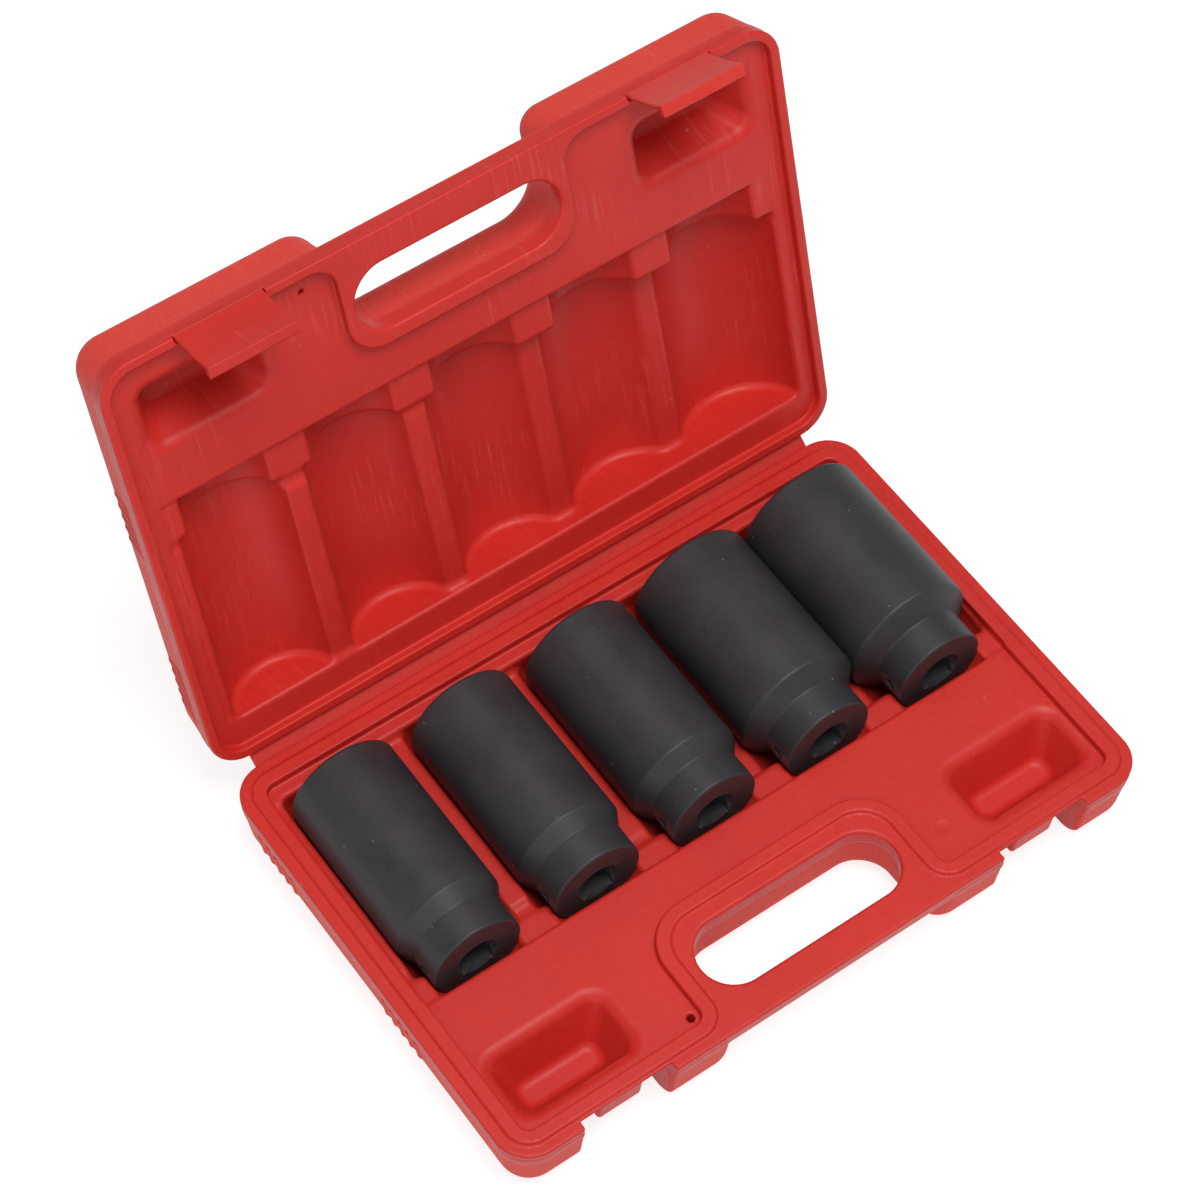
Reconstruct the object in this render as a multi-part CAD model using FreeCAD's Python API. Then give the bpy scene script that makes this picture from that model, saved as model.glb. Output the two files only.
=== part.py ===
import FreeCAD, Part
import math
import os

# Five deep impact sockets in a folding double-walled case, in millimetres.
# X runs along the hinge, -Y is the handle side, +Z is up.
# The origin is the middle of the base's underside.

# Sockets, smallest to largest
socket_names = ("socket_29mm", "socket_30mm", "socket_32mm", "socket_34mm", "socket_36mm")
hexagon_sizes = (29.0, 30.0, 32.0, 34.0, 36.0)
body_diameters = (42.6, 43.0, 44.8, 49.0, 51.0)
socket_length = 85.4
collar_diameter = 36.0
collar_length = 12.5
cone_length = 6.0
drive_square = 12.7
drive_depth = 17.0
drive_mouth_depth = 2.0
hexagon_depth = 32.0
hexagon_mouth_depth = 1.6
drive_web = 8.4
relief_wall = 5.5
link_bore_diameter = 10.0
pin_hole_diameter = 4.5
socket_edge_radius = 1.4
drive_edge_radius = 0.9

# Beds that the sockets lie in
socket_gap = 0.4
bed_clearance = 0.4
rib_width = 8.0
pad_width = 15.5
collar_step = 5.4
base_front_room = 3.9
lid_front_room = 9.7
rear_room = 7.2
left_shelf = 2.9
right_shelf = 0.2
rear_shelf = 5.65
deck_land = 30.45

# Case walls
rim_corner_radius = 14.0
wall_draft_degrees = 7.0
underside_edge_radius = 8.0
shell_wall = 1.2
tray_skin = 1.0
skin_gap = 0.1
lid_extra_depth = 1.2

# Rim: a ridge on the base enters a recess in the lid
flange_width = 4.6
ridge_width = 5.4
ridge_height = 1.1
deck_drop = 2.2
ridge_side_clearance = 0.6
lid_recess_drop = 3.5
seam_gap = 0.4
least_corner = 1.0
fillet_margin = 0.4

# Carrying handle: a slot through both halves and a bay under each bar
slot_length = 83.0
slot_width = 26.7
bar_width = 13.0
bar_thickness = 7.5
slot_band = 4.8
slot_rear_band = 6.6
slot_edge_radius = 1.5
bay_edge_radius = 10.0
bay_edge_steps = 5
bay_clearance = 0.5
bay_flare = 9.5
bay_flare_length = 14.0
bay_flare_bend = 4.7
bay_corner_radius = 13.0
ridge_bend_radius = 9.5

# Small-parts pockets
pocket_length = 48.0
pocket_width = 26.0
pocket_depth = 17.8
pocket_corner_radius = 6.0
pocket_floor_radius = 4.5
pocket_draft_degrees = 24.0
pocket_side_land = 3.3
pocket_front_land = 5.65

# Vent hole in each deck
base_vent_diameter = 3.0
base_vent_side_land = 3.3
base_vent_front_land = 4.15
lid_vent_diameter = 2.2
lid_vent_side_land = 5.8
lid_vent_front_land = 0.95

# Latches: tabs on the lid hook under pads in notches of the base
latch_end_distance = 46.5
tab_width = 34.0
tab_shift = 1.4
tab_thickness = 2.0
tab_length = 23.0
tab_hollow = 0.4
lip_depth = 2.6
lip_height = 3.4
lip_end_radius = 0.5
lip_lead_in = 0.7
tab_pivot_clearance = 0.3
tab_side_room = 0.4
notch_recess = 9.0
notch_set_back = 3.2
notch_slope = 0.4
pad_half_width = 9.0
pad_front_room = 0.8
pad_under_room = 1.6
pad_slope = 0.12
right_tab_rest_degrees = 16.0

# Hinge: a web between two fold lines
web_end_inset = 13.7
web_span = 6.0
web_thickness = 1.0
web_clearance = 0.3
lid_open_degrees = 105.72

# Side grips: two groups of upright ribs on each end wall
grip_pitch = 5.0
grip_count = 5
grip_radius = 1.6
grip_proud = 0.7
grip_top_drop = 8.0
grip_height = 13.0
grip_front_distance = 73.0
grip_rear_distance = 31.0

# The case follows its contents
tiny = 0.01
bed_count = len(socket_names)
socket_radii = [diameter / 2 for diameter in body_diameters]
bed_radii = [radius + bed_clearance for radius in socket_radii]
collar_bed_radius = collar_diameter / 2 + bed_clearance
socket_pitch = max(a + b for a, b in zip(socket_radii, socket_radii[1:])) + socket_gap
row_length = socket_pitch * (bed_count - 1)
rim_band = flange_width + ridge_width
left_room = bed_radii[0] + left_shelf + rim_band
right_room = bed_radii[-1] + right_shelf + rim_band
case_length = left_room + row_length + right_room
first_socket_x = left_room - case_length / 2
socket_xs = [first_socket_x + socket_pitch * index for index in range(bed_count)]
front_part = bar_width + slot_width + deck_land + base_front_room
case_depth = front_part + socket_length + rear_room + rear_shelf + rim_band
half_height = max(bed_radii) + tray_skin + skin_gap + shell_wall
drive_face_y = front_part - case_depth / 2
open_end_y = drive_face_y + socket_length
body_start_y = drive_face_y + collar_length + cone_length
relief_depth = socket_length - drive_depth - drive_web
bed_step_y = drive_face_y + collar_length - collar_step
bed_rear_y = open_end_y + rear_room
draft_slope = math.tan(math.radians(wall_draft_degrees))
pocket_slope = math.tan(math.radians(pocket_draft_degrees))
slot_front_y = -case_depth / 2 + bar_width
slot_rear_y = slot_front_y + slot_width
pocket_x = case_length / 2 - rim_band - pocket_side_land - pocket_length / 2
pocket_y = -case_depth / 2 + rim_band + pocket_front_land + pocket_width / 2
vent_edge_x = -(slot_length / 2 + slot_band + ridge_width)
vent_edge_y = -case_depth / 2 + rim_band
lid_flange_width = flange_width - ridge_side_clearance
latch_x = case_length / 2 - latch_end_distance
notch_width = tab_width + 2 * (tab_shift + tab_side_room)
notch_ceiling = -(deck_drop + tray_skin + skin_gap + shell_wall)
notch_rear_y = -case_depth / 2 + notch_recess
pad_reach = notch_recess - tab_thickness - lip_depth - pad_front_room
tab_pivot_rise = tab_thickness / 2
pad_drop = tab_length - lip_height - tab_pivot_rise - seam_gap - pad_under_room
web_length = case_length - 2 * web_end_inset
grip_group_ys = (grip_front_distance - case_depth / 2, case_depth / 2 - grip_rear_distance)
fold_y = case_depth / 2 + web_thickness / 2 + web_clearance
fold_drop = (web_span - seam_gap) / 2
base_fold = FreeCAD.Vector(0, fold_y, half_height - fold_drop)
lid_fold_closed = FreeCAD.Vector(0, fold_y, half_height - fold_drop + web_span)
tab_pivot_y = -case_depth / 2 + tab_thickness / 2
tab_pivot_closed = FreeCAD.Vector(0, tab_pivot_y, half_height + seam_gap + tab_pivot_rise)
x_axis = FreeCAD.Vector(1, 0, 0)
y_axis = FreeCAD.Vector(0, 1, 0)
z_axis = FreeCAD.Vector(0, 0, 1)

# Length that takes a cutter clear of anything it cuts
reach = case_length


def rounded_wire(corners, place):
    """Closed wire through (a, b, radius) corners; place maps (a, b) to a point."""
    count = len(corners)
    starts = []
    ends = []
    middles = []
    for index in range(count):
        a, b, radius = corners[index]
        before = corners[index - 1]
        after = corners[(index + 1) % count]
        into = FreeCAD.Vector(before[0] - a, before[1] - b, 0).normalize()
        out = FreeCAD.Vector(after[0] - a, after[1] - b, 0).normalize()
        half_angle = into.getAngle(out) / 2
        corner = FreeCAD.Vector(a, b, 0)
        setback = radius / math.tan(half_angle)
        bisector = (into + out).normalize() if radius > 0 else into
        depth = radius / math.sin(half_angle) - radius
        starts.append(corner + into * setback)
        ends.append(corner + out * setback)
        middles.append(corner + bisector * depth)
    edges = []
    for index in range(count):
        start = place(starts[index].x, starts[index].y)
        end = place(ends[index].x, ends[index].y)
        following = place(starts[(index + 1) % count].x, starts[(index + 1) % count].y)
        if corners[index][2] > 0:
            middle = place(middles[index].x, middles[index].y)
            edges.append(Part.Arc(start, middle, end).toShape())
        if (following - end).Length > tiny * tiny:
            edges.append(Part.LineSegment(end, following).toShape())
    return Part.Wire(edges)


def level_wire(corners, z):
    return rounded_wire(corners, lambda x, y: FreeCAD.Vector(x, y, z))


def prism(corners, z_low, z_high):
    face = Part.Face(level_wire(corners, z_low))
    return face.extrude(FreeCAD.Vector(0, 0, z_high - z_low))


def box(x_low, x_high, y_low, y_high, z_low, z_high):
    corner = FreeCAD.Vector(x_low, y_low, z_low)
    return Part.makeBox(x_high - x_low, y_high - y_low, z_high - z_low, corner)


def below(z):
    """Everything under a level."""
    return box(-reach, reach, -reach, reach, -reach, z)


def along_y(radius, x, y_low, y_high, z):
    return Part.makeCylinder(radius, y_high - y_low, FreeCAD.Vector(x, y_low, z), y_axis)


def fused(shapes):
    first = shapes[0]
    return first.multiFuse(shapes[1:]).removeSplitter()


def single(shape):
    """The one solid that a boolean result holds."""
    solids = shape.Solids
    assert len(solids) == 1, "expected one solid, found %d" % len(solids)
    return solids[0]


def rectangle(half_x, y_low, y_high, radius, centre_x=0.0):
    return [
        (centre_x - half_x, y_low, radius),
        (centre_x + half_x, y_low, radius),
        (centre_x + half_x, y_high, radius),
        (centre_x - half_x, y_high, radius),
    ]


def rim_outline(inset):
    half_depth = case_depth / 2 - inset
    return rectangle(case_length / 2 - inset, -half_depth, half_depth, rim_corner_radius - inset)


def ridge_outline(flange, inset):
    """The rim's inner outline, which bends round the handle slot."""
    edge = flange + inset
    half_x = case_length / 2 - edge
    half_y = case_depth / 2 - edge
    bay_x = slot_length / 2 + slot_band + inset - (flange_width - flange)
    bay_y = slot_rear_y + slot_rear_band + inset - (flange_width - flange)
    corner = max(rim_corner_radius - edge, least_corner)
    outer_bend = max(ridge_bend_radius - inset, least_corner)
    inner_bend = bay_corner_radius + inset
    return [
        (-half_x, -half_y, corner),
        (-bay_x, -half_y, outer_bend),
        (-bay_x, bay_y, inner_bend),
        (bay_x, bay_y, inner_bend),
        (bay_x, -half_y, outer_bend),
        (half_x, -half_y, corner),
        (half_x, half_y, corner),
        (-half_x, half_y, corner),
    ]


def drafted_block(inset, z_low):
    """Block below the rim plane with drafted walls and a rounded underside edge."""
    lean = -z_low * draft_slope
    top = level_wire(rim_outline(inset), 0)
    bottom = level_wire(rim_outline(inset + lean), z_low)
    block = Part.makeLoft([top, bottom], True, True)
    corner = rim_corner_radius - inset - lean
    radius = min(underside_edge_radius - inset, corner - fillet_margin)
    low_edges = [edge for edge in block.Edges if edge.BoundBox.ZMax < z_low + tiny]
    return block.makeFillet(radius, low_edges)


def slot_cutter():
    corner = slot_width / 2 - tiny
    outline = rectangle(slot_length / 2, slot_front_y, slot_rear_y, corner)
    return prism(outline, -reach, reach)


def bay_outline(growth):
    """Plan of the space under the handle bar, flared towards the front."""
    neck_x = slot_length / 2 + bay_clearance + growth
    mouth_x = neck_x + bay_flare
    rear_y = slot_rear_y + bay_clearance + growth
    front_y = -case_depth / 2
    neck_y = front_y + bay_flare_length
    return [
        (-mouth_x, front_y - reach, 0),
        (mouth_x, front_y - reach, 0),
        (mouth_x, front_y + bay_flare_bend / 2, bay_flare_bend),
        (neck_x, neck_y, bay_flare_bend),
        (neck_x, rear_y, bay_corner_radius + growth),
        (-neck_x, rear_y, bay_corner_radius + growth),
        (-neck_x, neck_y, bay_flare_bend),
        (-mouth_x, front_y + bay_flare_bend / 2, bay_flare_bend),
    ]


def bay_cutter(wall, floor_z, z_high):
    """Bay whose lower edge opens out in a quarter round."""
    radius = bay_edge_radius - wall
    wires = [level_wire(bay_outline(wall), z_high)]
    for step in range(bay_edge_steps + 1):
        angle = math.pi / 2 * step / bay_edge_steps
        growth = wall + radius * (1 - math.cos(angle))
        wires.append(level_wire(bay_outline(growth), floor_z + radius * (1 - math.sin(angle))))
    flared = Part.makeLoft(wires, True, True)
    below = prism(bay_outline(wall + radius), floor_z - reach, floor_z)
    return flared.fuse(below)


def cross_prism(points, x_low, x_high):
    """Prism along X from (y, z) points."""
    wire = Part.makePolygon([FreeCAD.Vector(x_low, y, z) for y, z in points + points[:1]])
    return Part.Face(wire).extrude(FreeCAD.Vector(x_high - x_low, 0, 0))


def notch_cutter(side, wall):
    """Recess in the front wall that takes a latch tab, with a sloping rear wall."""
    half_x = notch_width / 2 + wall
    front_y = -case_depth / 2
    lip_y = front_y + notch_set_back
    ceiling = notch_ceiling + wall
    rear_y = notch_rear_y + wall
    points = [
        (front_y - reach, reach),
        (lip_y, reach),
        (lip_y, 0),
        (lip_y - ceiling * notch_slope, ceiling),
        (rear_y, ceiling),
        (rear_y + reach * notch_slope, ceiling - reach),
        (front_y - reach, ceiling - reach),
    ]
    return cross_prism(points, side * latch_x - half_x, side * latch_x + half_x)


def catch_pad(side):
    """Raised pad on the notch's rear wall, under which a tab's lip hooks."""
    root = shell_wall / 2
    height = pad_drop + notch_ceiling
    front_y = notch_rear_y - pad_reach
    points = [
        (front_y, notch_ceiling + root),
        (front_y, notch_ceiling),
        (front_y + height * pad_slope, -pad_drop),
        (notch_rear_y + height * notch_slope + root, -pad_drop),
        (notch_rear_y + root, notch_ceiling + root),
    ]
    return cross_prism(points, side * latch_x - pad_half_width, side * latch_x + pad_half_width)


def grip_ribs():
    """Upright half-round ribs low on the end walls."""
    ribs = []
    foot_drop = grip_top_drop + grip_height
    for side in (-1, 1):
        low_x = side * (case_length / 2 - foot_drop * draft_slope + grip_proud - grip_radius)
        high_x = low_x + side * grip_height * draft_slope
        for group_y in grip_group_ys:
            for index in range(grip_count):
                y = group_y + grip_pitch * (index - (grip_count - 1) / 2)
                foot = FreeCAD.Vector(low_x, y, -foot_drop)
                head = FreeCAD.Vector(high_x, y, -grip_top_drop)
                ribs.append(Part.makeCylinder(grip_radius, (head - foot).Length, foot, head - foot))
    return ribs


def hinge_lip():
    """Ledge on the rear wall that reaches to the web's rounded edge."""
    half = web_thickness / 2
    y_high = fold_y - half - web_clearance
    y_low = case_depth / 2 - (fold_drop + web_thickness) * draft_slope - shell_wall / 2
    return box(-web_length / 2, web_length / 2, y_low, y_high, -fold_drop - half, -fold_drop + half)


def slot_rim_edges(shape):
    """Edges of the slot's mouth in the rim plane."""
    found = []
    for edge in shape.Edges:
        bounds = edge.BoundBox
        level = abs(bounds.ZMin) < tiny and abs(bounds.ZMax) < tiny
        inside_x = max(abs(bounds.XMin), abs(bounds.XMax)) < slot_length / 2 + tiny
        inside_y = bounds.YMin > slot_front_y - tiny and bounds.YMax < slot_rear_y + tiny
        if level and inside_x and inside_y:
            found.append(edge)
    return found


def outer_shell(is_base):
    """Outer skin of one half, rim plane at z 0 and underside below."""
    flange = flange_width if is_base else lid_flange_width
    drop = deck_drop if is_base else lid_recess_drop
    extra = 0.0 if is_base else lid_extra_depth
    floor_z = -half_height - extra
    bar_z = -bar_thickness - extra
    flange_base = -(drop + tray_skin + skin_gap)
    solid = drafted_block(0, floor_z)
    solid = fused([solid, hinge_lip()] + grip_ribs())
    cuts = [slot_cutter(), bay_cutter(0, floor_z, bar_z)]
    hollow = drafted_block(shell_wall, floor_z + shell_wall)
    hollow = hollow.common(below(flange_base))
    hollow = hollow.cut(bay_cutter(shell_wall, floor_z + shell_wall, bar_z + shell_wall))
    pads = []
    for side in (-1, 1):
        if is_base:
            hollow = hollow.cut(notch_cutter(side, shell_wall))
            cuts.append(notch_cutter(side, 0))
            pads.append(catch_pad(side))
        else:
            cuts.append(tab_root_cutter(side))
    opening = prism(ridge_outline(flange, -skin_gap), flange_base - tiny, reach)
    solid = solid.cut(cuts + [hollow, opening])
    if pads:
        solid = fused([solid] + pads)
    solid = single(solid)
    return single(solid.makeFillet(slot_edge_radius, slot_rim_edges(solid)))


def rib_drop(radius_a, radius_b, width, least):
    """Depth at which two neighbouring beds leave a flat of the given width."""
    mean = (radius_a + radius_b) / 2
    half_gap = (socket_pitch - width) / 2
    return math.sqrt(max(mean * mean - half_gap * half_gap, least * least))


def bed_shapes(radii, y_low, y_high, axis_z, width, least, skin):
    """Half-round beds with flat-topped ribs between them, grown by skin."""
    edge_x = case_length / 2 - rim_band
    shapes = []
    for x, radius in zip(socket_xs, radii):
        shapes.append(along_y(radius + skin, x, y_low - skin, y_high + skin, axis_z))
    drops = [rib_drop(a, b, width, least) for a, b in zip(radii, radii[1:])]
    lefts = [-edge_x - skin] + socket_xs
    rights = socket_xs + [edge_x + skin]
    all_drops = [least] + drops + [least]
    for left, right, drop in zip(lefts, rights, all_drops):
        shapes.append(box(left, right, y_low - skin, y_high + skin, -drop - skin, reach))
    return shapes


def pocket_loft(side, deck_z, growth):
    """Small-parts pocket with strongly drafted walls."""
    depth = pocket_depth + growth
    inset = pocket_depth * pocket_slope
    x = side * pocket_x
    half_x = pocket_length / 2 + growth
    half_y = pocket_width / 2 + growth
    top_corners = rectangle(half_x, pocket_y - half_y, pocket_y + half_y, pocket_corner_radius + growth, x)
    low_radius = pocket_floor_radius + growth
    low_x = half_x - inset
    low_y = half_y - inset
    low_corners = rectangle(low_x, pocket_y - low_y, pocket_y + low_y, low_radius, x)
    top = level_wire(top_corners, deck_z)
    low = level_wire(low_corners, deck_z - depth)
    return Part.makeLoft([top, low], True, True)


def vent(diameter, side_land, front_land):
    """Cutter for a vent hole beside the handle slot."""
    foot = FreeCAD.Vector(vent_edge_x - side_land, vent_edge_y + front_land, -reach / 2)
    return Part.makeCylinder(diameter / 2, reach, foot)


def inner_tray(is_base):
    """Inner skin of one half, rim plane at z 0."""
    flange = flange_width if is_base else lid_flange_width
    drop = deck_drop if is_base else lid_recess_drop
    top = ridge_height if is_base else -drop
    front_room = base_front_room if is_base else lid_front_room
    axis_z = 0.0 if is_base else seam_gap
    front_y = drive_face_y - front_room
    collar_radii = [collar_bed_radius] * bed_count

    def all_beds(skin):
        bodies = bed_shapes(bed_radii, bed_step_y, bed_rear_y, axis_z, rib_width, drop, skin)
        collars = bed_shapes(collar_radii, front_y, bed_step_y, axis_z, pad_width, drop, skin)
        return bodies + collars

    def below_deck(shapes):
        return [shape.common(below(-drop)) for shape in shapes]

    plate = prism(ridge_outline(flange, 0), -drop - tray_skin, top)
    skins = below_deck(all_beds(tray_skin))
    pockets = [pocket_loft(side, -drop, tray_skin) for side in (-1, 1)]
    solid = fused([plate] + skins + pockets)
    cuts = all_beds(0)
    cuts += [pocket_loft(side, -drop, 0) for side in (-1, 1)]
    if is_base:
        cuts.append(vent(base_vent_diameter, base_vent_side_land, base_vent_front_land))
        cuts.append(prism(ridge_outline(flange, ridge_width), -drop, reach))
    else:
        cuts.append(vent(lid_vent_diameter, lid_vent_side_land, lid_vent_front_land))
    return single(solid.cut(cuts))


def tab_root_cutter(side):
    """Groove in the lid's front edge for the rounded root of a tab."""
    centre_x = side * latch_x + tab_shift
    half_x = tab_width / 2 + tab_pivot_clearance
    front_y = -case_depth / 2
    depth = tab_thickness + tab_pivot_clearance
    return box(
        centre_x - half_x,
        centre_x + half_x,
        front_y - reach,
        front_y + depth,
        -depth,
        reach,
    )


def latch_tab(side, outward_degrees):
    """Curved snap tab with an inward lip, on the closed lid's front edge."""
    half = tab_thickness / 2
    lip_low = tab_length - lip_height
    pivot = tab_pivot_closed

    def place(out, down):
        return FreeCAD.Vector(side * latch_x + tab_shift - tab_width / 2, pivot.y - out, pivot.z - down)

    points = {
        "top_out": place(half, 0),
        "crown": place(0, -half),
        "top_in": place(-half, 0),
        "inner_low": place(-half, lip_low),
        "lip_top": place(-half - lip_depth, lip_low + lip_end_radius),
        "lip_side": place(-half - lip_depth, tab_length - lip_lead_in),
        "lip_round": place(-half - lip_depth + lip_lead_in, tab_length),
        "outer_low": place(half - lip_end_radius, tab_length),
        "outer_round": place(half, tab_length - lip_end_radius),
        "outer_mid": place(half - tab_hollow, tab_length / 2),
    }
    edges = [
        Part.Arc(points["top_out"], points["crown"], points["top_in"]).toShape(),
        Part.LineSegment(points["top_in"], points["inner_low"]).toShape(),
        Part.LineSegment(points["inner_low"], points["lip_top"]).toShape(),
        Part.LineSegment(points["lip_top"], points["lip_side"]).toShape(),
        Part.LineSegment(points["lip_side"], points["lip_round"]).toShape(),
        Part.LineSegment(points["lip_round"], points["outer_low"]).toShape(),
        Part.LineSegment(points["outer_low"], points["outer_round"]).toShape(),
        Part.Arc(points["outer_round"], points["outer_mid"], points["top_out"]).toShape(),
    ]
    solid = Part.Face(Part.Wire(edges)).extrude(FreeCAD.Vector(tab_width, 0, 0))
    solid.rotate(pivot, x_axis, -outward_degrees)
    return solid


def hinge_web():
    """Strip with half-round edges centred on the two fold lines, lid closed."""
    half = web_thickness / 2
    x = -web_length / 2

    def place(out, up):
        return FreeCAD.Vector(x, fold_y + out, base_fold.z + up)

    edges = [
        Part.Arc(place(-half, 0), place(0, -half), place(half, 0)).toShape(),
        Part.LineSegment(place(half, 0), place(half, web_span)).toShape(),
        Part.Arc(place(half, web_span), place(0, web_span + half), place(-half, web_span)).toShape(),
        Part.LineSegment(place(-half, web_span), place(-half, 0)).toShape(),
    ]
    return Part.Face(Part.Wire(edges)).extrude(FreeCAD.Vector(web_length, 0, 0))


def socket(index):
    """Deep impact socket along Y, drive end to the front."""
    radius = socket_radii[index]
    collar_radius = collar_diameter / 2
    profile = [
        (0, drive_face_y, 0),
        (collar_radius, drive_face_y, drive_edge_radius),
        (collar_radius, drive_face_y + collar_length, drive_edge_radius),
        (radius, body_start_y, socket_edge_radius),
        (radius, open_end_y, socket_edge_radius),
        (0, open_end_y, 0),
    ]
    wire = rounded_wire(profile, lambda r, y: FreeCAD.Vector(r, y, 0))
    solid = Part.Face(wire).revolve(FreeCAD.Vector(0, 0, 0), y_axis, 360)
    half = drive_square / 2
    square = box(-half, half, drive_face_y - reach, drive_face_y + drive_depth, -half, half)
    mouth_radius = half + drive_mouth_depth
    mouth = Part.makeCone(
        mouth_radius, half, drive_mouth_depth, FreeCAD.Vector(0, drive_face_y, 0), y_axis
    )
    corner_radius = hexagon_sizes[index] / math.sqrt(3)
    hexagon_corners = []
    for corner in range(6):
        angle = math.pi / 3 * corner
        hexagon_corners.append((corner_radius * math.cos(angle), corner_radius * math.sin(angle), 0))
    hexagon_wire = rounded_wire(
        hexagon_corners, lambda x, z: FreeCAD.Vector(x, open_end_y - hexagon_depth, z)
    )
    hexagon = Part.Face(hexagon_wire).extrude(FreeCAD.Vector(0, hexagon_depth + reach, 0))
    hexagon_mouth = Part.makeCone(
        corner_radius - hexagon_mouth_depth,
        corner_radius,
        hexagon_mouth_depth,
        FreeCAD.Vector(0, open_end_y - hexagon_mouth_depth, 0),
        y_axis,
    )
    relief_radius = radius - relief_wall
    relief = along_y(relief_radius, 0, open_end_y - relief_depth, open_end_y - hexagon_depth, 0)
    link = along_y(link_bore_diameter / 2, 0, drive_face_y, open_end_y - hexagon_depth, 0)
    pin_y = drive_face_y + collar_length / 2
    pin_hole = Part.makeCylinder(
        pin_hole_diameter / 2, reach, FreeCAD.Vector(-reach / 2, pin_y, 0), x_axis
    )
    solid = solid.cut([square, mouth, hexagon, hexagon_mouth, relief, link, pin_hole])
    solid = single(solid)
    solid.translate(FreeCAD.Vector(socket_xs[index], 0, half_height))
    return solid


def close_over_base(shape):
    """Turn a half built like the base into the closed lid."""
    lid = shape.mirror(FreeCAD.Vector(0, 0, 0), z_axis)
    lid.translate(FreeCAD.Vector(0, 0, half_height + seam_gap))
    return lid


def open_web(shape):
    shape.rotate(base_fold, x_axis, -lid_open_degrees / 2)
    return shape


def open_lid(shape):
    shape.rotate(lid_fold_closed, x_axis, -lid_open_degrees / 2)
    return open_web(shape)


def lifted_to_stand(shape):
    shape.translate(FreeCAD.Vector(0, 0, half_height))
    return shape


def build():
    nodes = {
        "base_outer_shell": lifted_to_stand(outer_shell(True)),
        "base_inner_tray": lifted_to_stand(inner_tray(True)),
        "lid_outer_shell": open_lid(close_over_base(outer_shell(False))),
        "lid_inner_tray": open_lid(close_over_base(inner_tray(False))),
        "hinge_web": open_web(hinge_web()),
        "latch_tab_left": open_lid(latch_tab(-1, 0)),
        "latch_tab_right": open_lid(latch_tab(1, right_tab_rest_degrees)),
    }
    for index, name in enumerate(socket_names):
        nodes[name] = socket(index)
    return nodes


os.makedirs("parts", exist_ok=True)
for node_name, node_shape in build().items():
    print(node_name, node_shape.isValid(), len(node_shape.Solids), round(node_shape.Volume))
    node_shape.exportStep("parts/" + node_name + ".step")
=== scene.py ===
import math
import bpy
import numpy as np
from mathutils import Matrix, Vector


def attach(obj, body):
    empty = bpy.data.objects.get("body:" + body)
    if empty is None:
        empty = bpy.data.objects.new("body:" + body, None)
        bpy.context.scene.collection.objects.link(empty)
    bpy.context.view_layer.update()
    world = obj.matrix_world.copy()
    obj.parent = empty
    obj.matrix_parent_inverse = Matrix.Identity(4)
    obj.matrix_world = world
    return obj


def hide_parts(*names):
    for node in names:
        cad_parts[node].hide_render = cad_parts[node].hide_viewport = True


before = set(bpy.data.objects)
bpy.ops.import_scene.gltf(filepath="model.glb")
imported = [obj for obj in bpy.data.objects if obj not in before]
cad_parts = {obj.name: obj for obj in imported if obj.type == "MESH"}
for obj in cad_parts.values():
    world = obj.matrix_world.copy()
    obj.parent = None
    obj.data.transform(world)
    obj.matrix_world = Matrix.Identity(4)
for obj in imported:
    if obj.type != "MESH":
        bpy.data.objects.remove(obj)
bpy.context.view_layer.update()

# Sizes are in millimetres in each half's own frame: rim plane at z 0, inside up.
MM = 0.001
VOXEL = 0.85
TAB_VOXEL = 0.5

# Case
CASE_LENGTH = 272.3
CASE_DEPTH = 182.3
FRONT_Y = -CASE_DEPTH / 2
HALF_HEIGHT = 28.2
LID_EXTRA = 1.2
RIM_CORNER = 14.0
WALL_SLOPE = math.tan(math.radians(7.0))
UNDERSIDE_ROUND = 8.0
RIM_ROUND = 0.8
FLANGE = 4.6
RIDGE_ROUND = 0.65
RIDGE_WIDTH = 5.4
RIDGE_HEIGHT = 1.1
RIDGE_GAP = 0.6
SEAM_GAP = 0.4

# Handle
BAR_WIDTH = 13.0
BAR_THICKNESS = 7.5
SLOT_HALF = (41.5, 13.35)
SLOT_MIDDLE_Y = FRONT_Y + BAR_WIDTH + SLOT_HALF[1]
SLOT_BAND = (4.8, 6.6)
SLOT_ROUND = 1.3
BAY_GAP = 0.5
BAY_HALF = SLOT_HALF[0] + BAY_GAP
BAY_REAR_Y = SLOT_MIDDLE_Y + SLOT_HALF[1] + BAY_GAP
BAY_CORNER = 13.0
BAY_ROUND = 10.0
BAND_BEND = 9.5

# Sockets and their beds
SOCKET_PITCH = 50.4
SOCKET_MIDDLE_X = -0.75
SOCKET_XS = [SOCKET_MIDDLE_X + SOCKET_PITCH * n for n in (-2, -1, 0, 1, 2)]
BODY_DIAMETERS = (42.6, 43.0, 44.8, 49.0, 51.0)
COLLAR_DIAMETER = 36.0
BED_GAP = 0.4
BED_RADII = [diameter / 2 + BED_GAP for diameter in BODY_DIAMETERS]
COLLAR_RADII = [COLLAR_DIAMETER / 2 + BED_GAP] * len(SOCKET_XS)
BED_STEP_Y = -10.0
BED_REAR_Y = 75.5
BED_SIDE_X = CASE_LENGTH / 2 - FLANGE - RIDGE_WIDTH
RIB_WIDTH = 8.0
PAD_WIDTH = 15.5
RIB_ROUND = 1.2
PAD_ROUND = 3.0
BED_EDGE_ROUND = 1.5
BED_END_ROUND = 3.0

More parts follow.
